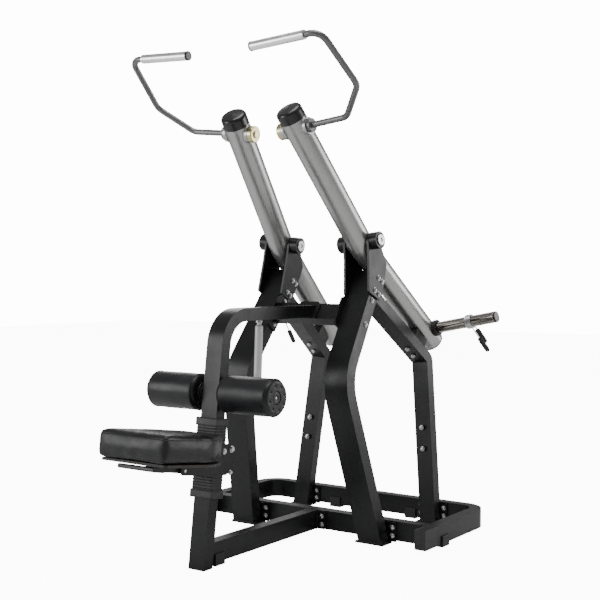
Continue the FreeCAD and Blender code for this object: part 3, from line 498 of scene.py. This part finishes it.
def foam_roller(side, mirror):
    """A vinyl-covered foam roller, crowned a little, with pressed dimples round each end disc."""
    inner, outer, radius, soft = 0.056, 0.294, 0.071, 0.017
    place = mirror @ Matrix.Translation((0, ROLLER_Y, 0.651)) @ Matrix.Rotation(math.radians(90), 4, "Y")

    def dimple(angle, r, height):
        crown = 0.0011 * math.sin(math.pi * (height - inner) / (outer - inner)) if r > 0.06 else 0
        if abs(height - outer) > 0.004 and abs(height - inner) > 0.004:
            ripple = 0.0003 * math.sin(5 * angle + 40 * height)
            return crown + ripple - 0.0012, 0
        spot = 0
        for k in range(8):
            centre = 2 * math.pi * k / 8 + 0.2
            gap = math.hypot(r * math.cos(angle) - 0.046 * math.cos(centre),
                             r * math.sin(angle) - 0.046 * math.sin(centre))
            spot += math.exp(-(gap / 0.0055) ** 2)
        deep = 0.0032 * spot
        return -0.0006, -deep if height > 0.2 else deep

    face = [0.0243, 0.026, 0.029, 0.032, 0.0345, 0.037, 0.0395, 0.042, 0.0445, 0.047, 0.0495, 0.052]
    profile = [(0.0243, inner + 0.03), (0.0243, inner + 0.003)] + [(r, inner) for r in face[1:]]
    profile += arc((radius - soft, inner + soft), soft, 270, 360, 10)
    profile += [(radius, inner + soft + (outer - inner - 2 * soft) * i / 16) for i in range(1, 16)]
    profile += arc((radius - soft, outer - soft), soft, 0, 90, 10)
    profile += [(r, outer) for r in face[:0:-1]] + [(0.0243, outer - 0.003), (0.0243, outer - 0.03)]
    obj = finish_mesh("roller_cover_" + side, lathe_mesh(profile, place, 160, dimple), "foam_vinyl",
                      "roller_" + side, 60)
    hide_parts("foam_roller_" + side)
    seams = []
    for height in (inner + soft * 0.75, outer - soft * 0.75):
        ring_radius = radius - 0.0009
        ring = [place @ Vector((ring_radius * math.cos(a), ring_radius * math.sin(a), height))
                for a in (2 * math.pi * k / 120 for k in range(120))]
        seams.append(tube_mesh(ring, 0.0013, 8, True))
    seam_x, seam_y = (radius - 0.0009) * math.cos(3.6), (radius - 0.0009) * math.sin(3.6)
    run = [place @ Vector((seam_x, seam_y, z / 1000)) for z in range(70, 282, 4)]
    seams.append(tube_mesh(run, 0.0011, 8))
    finish_mesh("roller_welts_" + side, join_meshes(seams), "foam_vinyl", "roller_" + side)
    section = ((0.0064, 0.006), (0.0153, 0.006), (0.0153, 0.009), (0.0225, 0.009), (0.0233, 0.0035),
               (0.0205, 0.0016), (0.0165, 0.0012), (0.0078, 0.0026), (0.0064, 0.0036), (0.0064, 0.006))
    hub = [(r, outer - depth) for r, depth in section]
    finish_mesh("roller_boss_" + side, lathe_mesh(hub, place, 72), "hub_plastic", "roller_" + side)


for side, mirror in SIDES:
    foam_roller(side, mirror)


# ---------------------------------------------------------------- spring collars

def spring_collar(side, mirror):
    """The wound wire with its two ends, and a ribbed grip on each."""
    place = mirror @ HORN @ Matrix.Translation((0, 0, 0.216))
    place = place @ Matrix.Rotation(math.radians(135), 4, "Z")
    radius, pitch, turns = 0.029, 0.0066, 4.5
    points = [Vector((radius, -0.158 + 0.01 * i, 0.0034)) for i in range(15)]
    for i in range(181):
        a = math.radians(turns * 360 * i / 180)
        height = 0.0034 + pitch * turns * i / 180 * 0.88
        points.append(Vector((radius * math.cos(a), radius * math.sin(a), height)))
    top = points[-1].z
    points += [Vector((-radius, -0.018 - 0.01 * i, top)) for i in range(15)]
    wire = tube_mesh([place @ p for p in points], 0.003, 12)
    obj = finish_mesh("collar_wire_" + side, wire, "bolt_steel", "collar_" + side, 60)
    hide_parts("collar_spring_" + side)
    grips = []
    for x, z in ((radius, 0.0034), (-radius, top)):
        lie = place @ Matrix.Translation((x, -0.081, z)) @ Matrix.Rotation(math.radians(90), 4, "X")
        profile = [(0.0031, 0), (0.0072, 0), (0.0096, 0.0015)]
        for i in range(9):
            start = 0.004 + i * 0.0078
            profile += [(0.0108, start), (0.0112, start + 0.0026)]
            profile += [(0.0108, start + 0.0052), (0.0098, start + 0.0062)]
        profile += [(0.0106, 0.0765)] + arc((0.0046, 0.0775), 0.006, 0, 90, 6) + [(0, 0.0838)]
        grips.append(lathe_mesh(profile, lie, 40))
    grip = finish_mesh("collar_grip_pair_" + side, join_meshes(grips), "foot_rubber",
                       "collar_" + side, 50)
    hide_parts("collar_grips_" + side)


for side, mirror in SIDES:
    spring_collar(side, mirror)


# ---------------------------------------------------------------- ribs, welds and small trim

def rounded_loop(place, half_x, half_y, radius, z, steps=6):
    """Points round a rectangle with round corners."""
    points = []
    for sx, sy, start in ((1, 1, 0), (-1, 1, 90), (-1, -1, 180), (1, -1, 270)):
        for i in range(steps + 1):
            a = math.radians(start + 90 * i / steps)
            points.append(place @ Vector((sx * (half_x - radius) + radius * math.cos(a),
                                          sy * (half_y - radius) + radius * math.sin(a), z)))
    return points


def sleeve_ribs():
    """Raised moulded ribs round the guide sleeve, above and below the carriage plates."""
    parts = []
    heights = [0.300 + 0.0105 * i for i in range(5)] + [0.482 + 0.0105 * i for i in range(5)]
    for z in heights:
        parts.append(tube_mesh(rounded_loop(POST, 0.0463, 0.0333, 0.004, z), 0.0024, 8, True))
    for z in (0.2665, 0.2925, 0.5355, 0.5615):
        parts.append(tube_mesh(rounded_loop(POST, 0.0500, 0.0370, 0.005, z), 0.0022, 8, True))
    finish_mesh("sleeve_ribs", join_meshes(parts), "hub_plastic", "seat")


def weld(points, radius=0.0034, closed=True):
    """A bead with the small ripples a welder leaves."""
    dense = []
    ends = zip(points, points[1:] + (points[:1] if closed else []))
    for a, b in ends:
        count = max(1, int((b - a).length / 0.0022))
        dense += [a.lerp(b, i / count) for i in range(count)]
    radii = [radius * (1 + 0.16 * math.sin(i * 1.9)) for i in range(len(dense))]
    return tube_mesh(dense, radii, 8, closed)


def tube_ring(place, half_x, half_y, z):
    return rounded_loop(place, half_x, half_y, 0.004, z, 3)


def slanted_ring(place, half_x, half_y, level):
    """Where a leaning rectangular tube meets the level plane at this height."""
    down = place.to_3x3() @ Vector((0, 0, 1))
    points = []
    for p in rounded_loop(place, half_x, half_y, 0.004, 0, 3):
        points.append(p + down * ((level - p.z) / down.z))
    return points


def frame_welds():
    """Beads where the legs meet their floor plates, and where the spine meets its flange."""
    parts = []
    front_lean, rear_lean = math.atan2(0.1775, 0.7274), math.atan2(-0.0542, 0.7718)
    front = SIDE @ Matrix.Translation((0, -0.076, -1.290)) @ Matrix.Rotation(front_lean, 4, "X")
    rear = SIDE @ Matrix.Translation((0, 0.362, -1.290)) @ Matrix.Rotation(rear_lean, 4, "X")
    for _, mirror in SIDES:
        parts.append(weld(slanted_front(mirror, front), 0.0036))
        ring = slanted_ring(rear, 0.039, 0.025, 0.0085)
        parts.append(weld([mirror @ p for p in ring if p.y < 0.671], 0.0032, False))
    spine = Matrix.Translation((0, 0, 0.052)) @ Matrix.Rotation(math.radians(-90), 4, "X")
    parts.append(weld(tube_ring(spine, 0.025, 0.040, 0.2266), 0.0034))
    finish_mesh("frame_weld_beads", join_meshes(parts), "weld", "frame", 60)


def horn_buffer(side, mirror):
    """A black rubber ring over the horn's stop flange, that the plates lie against."""
    profile = [(0.0256, 0.0684), (0.0256, 0.0705), (0.0285, 0.0713)]
    profile += arc((0.0335, 0.0685), 0.0028, 80, 10, 5) + [(0.0362, 0.0525)]
    profile += arc((0.0342, 0.0515), 0.0019, 0, -80, 4) + [(0.0353, 0.0512), (0.0353, 0.0684)]
    ring = lathe_mesh(profile + profile[:1], mirror @ HORN, 96)
    finish_mesh("horn_buffer_" + side, ring, "foot_rubber", "lever_" + side, 50)


def slanted_front(mirror, place):
    ring = slanted_ring(place, 0.055, 0.029, 0.0085)
    return [mirror @ Vector((p.x, min(p.y, 0.2265), p.z)) for p in ring]


def arm_welds(side, mirror):
    """Beads round the handle sleeve where it meets the arm, one on each flank."""
    parts = []
    middle = SIDE @ Vector((0, -0.377, 0.445))
    run = (SIDE.to_3x3() @ Vector((0, -0.412, 0.501))).normalized()
    across = (SIDE.to_3x3() @ Vector((1, 0, 0))).normalized()
    third = run.cross(across)
    for sign in (-1, 1):
        points = []
        for k in range(72):
            a = 2 * math.pi * k / 72
            u, v = 0.0352 * math.cos(a), 0.0352 * math.sin(a)
            depth = math.sqrt(max(0, 0.0542 ** 2 - v * v))
            points.append(mirror @ (middle + run * u + third * v + across * sign * depth))
        parts.append(weld(points, 0.0026))
    finish_mesh("arm_weld_beads_" + side, join_meshes(parts), "arm_grey", "lever_" + side, 60)


def leg_bolt_heads():
    """Plain bolt heads on washers, two on each rear leg's front face and two under its upper beam."""
    spots = (((0.3575, -0.8175), (-0.9975, 0.07)), ((0.3513, -0.9111), (-0.9975, 0.07)),
             ((0.2976, -0.4650), (-0.598, -0.8015)), ((0.3418, -0.4986), (-0.598, -0.8015)))
    washer = [(0, 0.0016), (0.0105, 0.0016), (0.0115, 0.001), (0.0115, -0.0006), (0, -0.0006)]
    head = [(0, 0.0082), (0.0055, 0.0078), (0.0088, 0.0064), (0.0098, 0.0048), (0.0098, 0.0012),
            (0, 0.0012)]
    parts = []
    for _, mirror in SIDES:
        for (y, z), (ny, nz) in spots:
            turn = Matrix(((1, 0, 0, 0), (0, nz, ny, 0), (0, -ny, nz, 0), (0, 0, 0, 1)))
            place = mirror @ SIDE @ Matrix.Translation((0, y, z)) @ turn
            parts += [lathe_mesh(washer, place, 36), lathe_mesh(head, place, 6)]
    finish_mesh("rear_leg_bolt_heads", join_meshes(parts), "bolt_steel", "frame", 40)


sleeve_ribs()
frame_welds()
leg_bolt_heads()
for side, mirror in SIDES:
    arm_welds(side, mirror)
    horn_buffer(side, mirror)


# ---------------------------------------------------------------- room, light and camera

def light_world(tree):
    """A soft grey surround that lights the machine, shown plain white where the camera sees it."""
    sky = tree.nodes["Background"]
    sky.inputs["Color"].default_value = (1, 1, 1, 1)
    sky.inputs["Strength"].default_value = 0.34
    backdrop = tree.nodes.new("ShaderNodeBackground")
    backdrop.inputs["Color"].default_value = (1, 1, 1, 1)
    backdrop.inputs["Strength"].default_value = 14.0
    path = tree.nodes.new("ShaderNodeLightPath")
    mix = tree.nodes.new("ShaderNodeMixShader")
    tree.links.new(path.outputs["Is Camera Ray"], mix.inputs["Fac"])
    tree.links.new(sky.outputs[0], mix.inputs[1])
    tree.links.new(backdrop.outputs[0], mix.inputs[2])
    tree.links.new(mix.outputs[0], tree.nodes["World Output"].inputs["Surface"])


def make_stage():
    bpy.ops.mesh.primitive_plane_add(size=30, location=(0, 0, -0.0005))
    floor = bpy.context.object
    floor.name = "studio_floor"
    s = Shader("floor_white")
    shade = s.mix(s.span(s.noise(0.8, 3), 0, 1), (0.93, 0.93, 0.93), (0.96, 0.96, 0.96))
    floor.data.materials.append(s.set(Base_Color=shade, Roughness=0.9, Emission_Color=(1.0, 1.0, 1.0)))
    camera_ray = s.add("ShaderNodeLightPath").outputs["Is Camera Ray"]
    s.link(s.span(camera_ray, 0, 11.0, 0, 1), s.bsdf.inputs["Emission Strength"])
    world = bpy.data.worlds.new("studio")
    bpy.context.scene.world = world
    world.use_nodes = True
    light_world(world.node_tree)
    lamps = (("key", (-2.9, -3.9, 1.9), 2.4, 95), ("side", (3.5, 4.0, 1.8), 2.4, 85),
             ("top", (0.3, -0.6, 4.6), 2.6, 110), ("rim", (-2.8, 3.2, 3.0), 2.0, 45))
    for name, spot, size, power in lamps:
        data = bpy.data.lights.new(name, "AREA")
        data.size = size
        data.energy = power
        lamp = bpy.data.objects.new(name, data)
        bpy.context.scene.collection.objects.link(lamp)
        lamp.location = spot
        lamp.rotation_euler = (Vector((0, 0, 0.9)) - lamp.location).to_track_quat("-Z", "Y").to_euler()


def make_camera():
    data = bpy.data.cameras.new("camera")
    data.lens = 65.14
    data.sensor_width = 36
    data.clip_end = 60
    camera = bpy.data.objects.new("camera", data)
    bpy.context.scene.collection.objects.link(camera)
    forward = Vector((-0.5774, 0.816, -0.0257)).normalized()
    right = Vector((0.8163, 0.5776, 0)).normalized()
    up = right.cross(forward)
    turn = Matrix((right, up, -forward)).transposed().to_4x4()
    camera.matrix_world = Matrix.Translation((2.6351, -3.5893, 1.1093)) @ turn
    bpy.context.scene.camera = camera


make_stage()
make_camera()
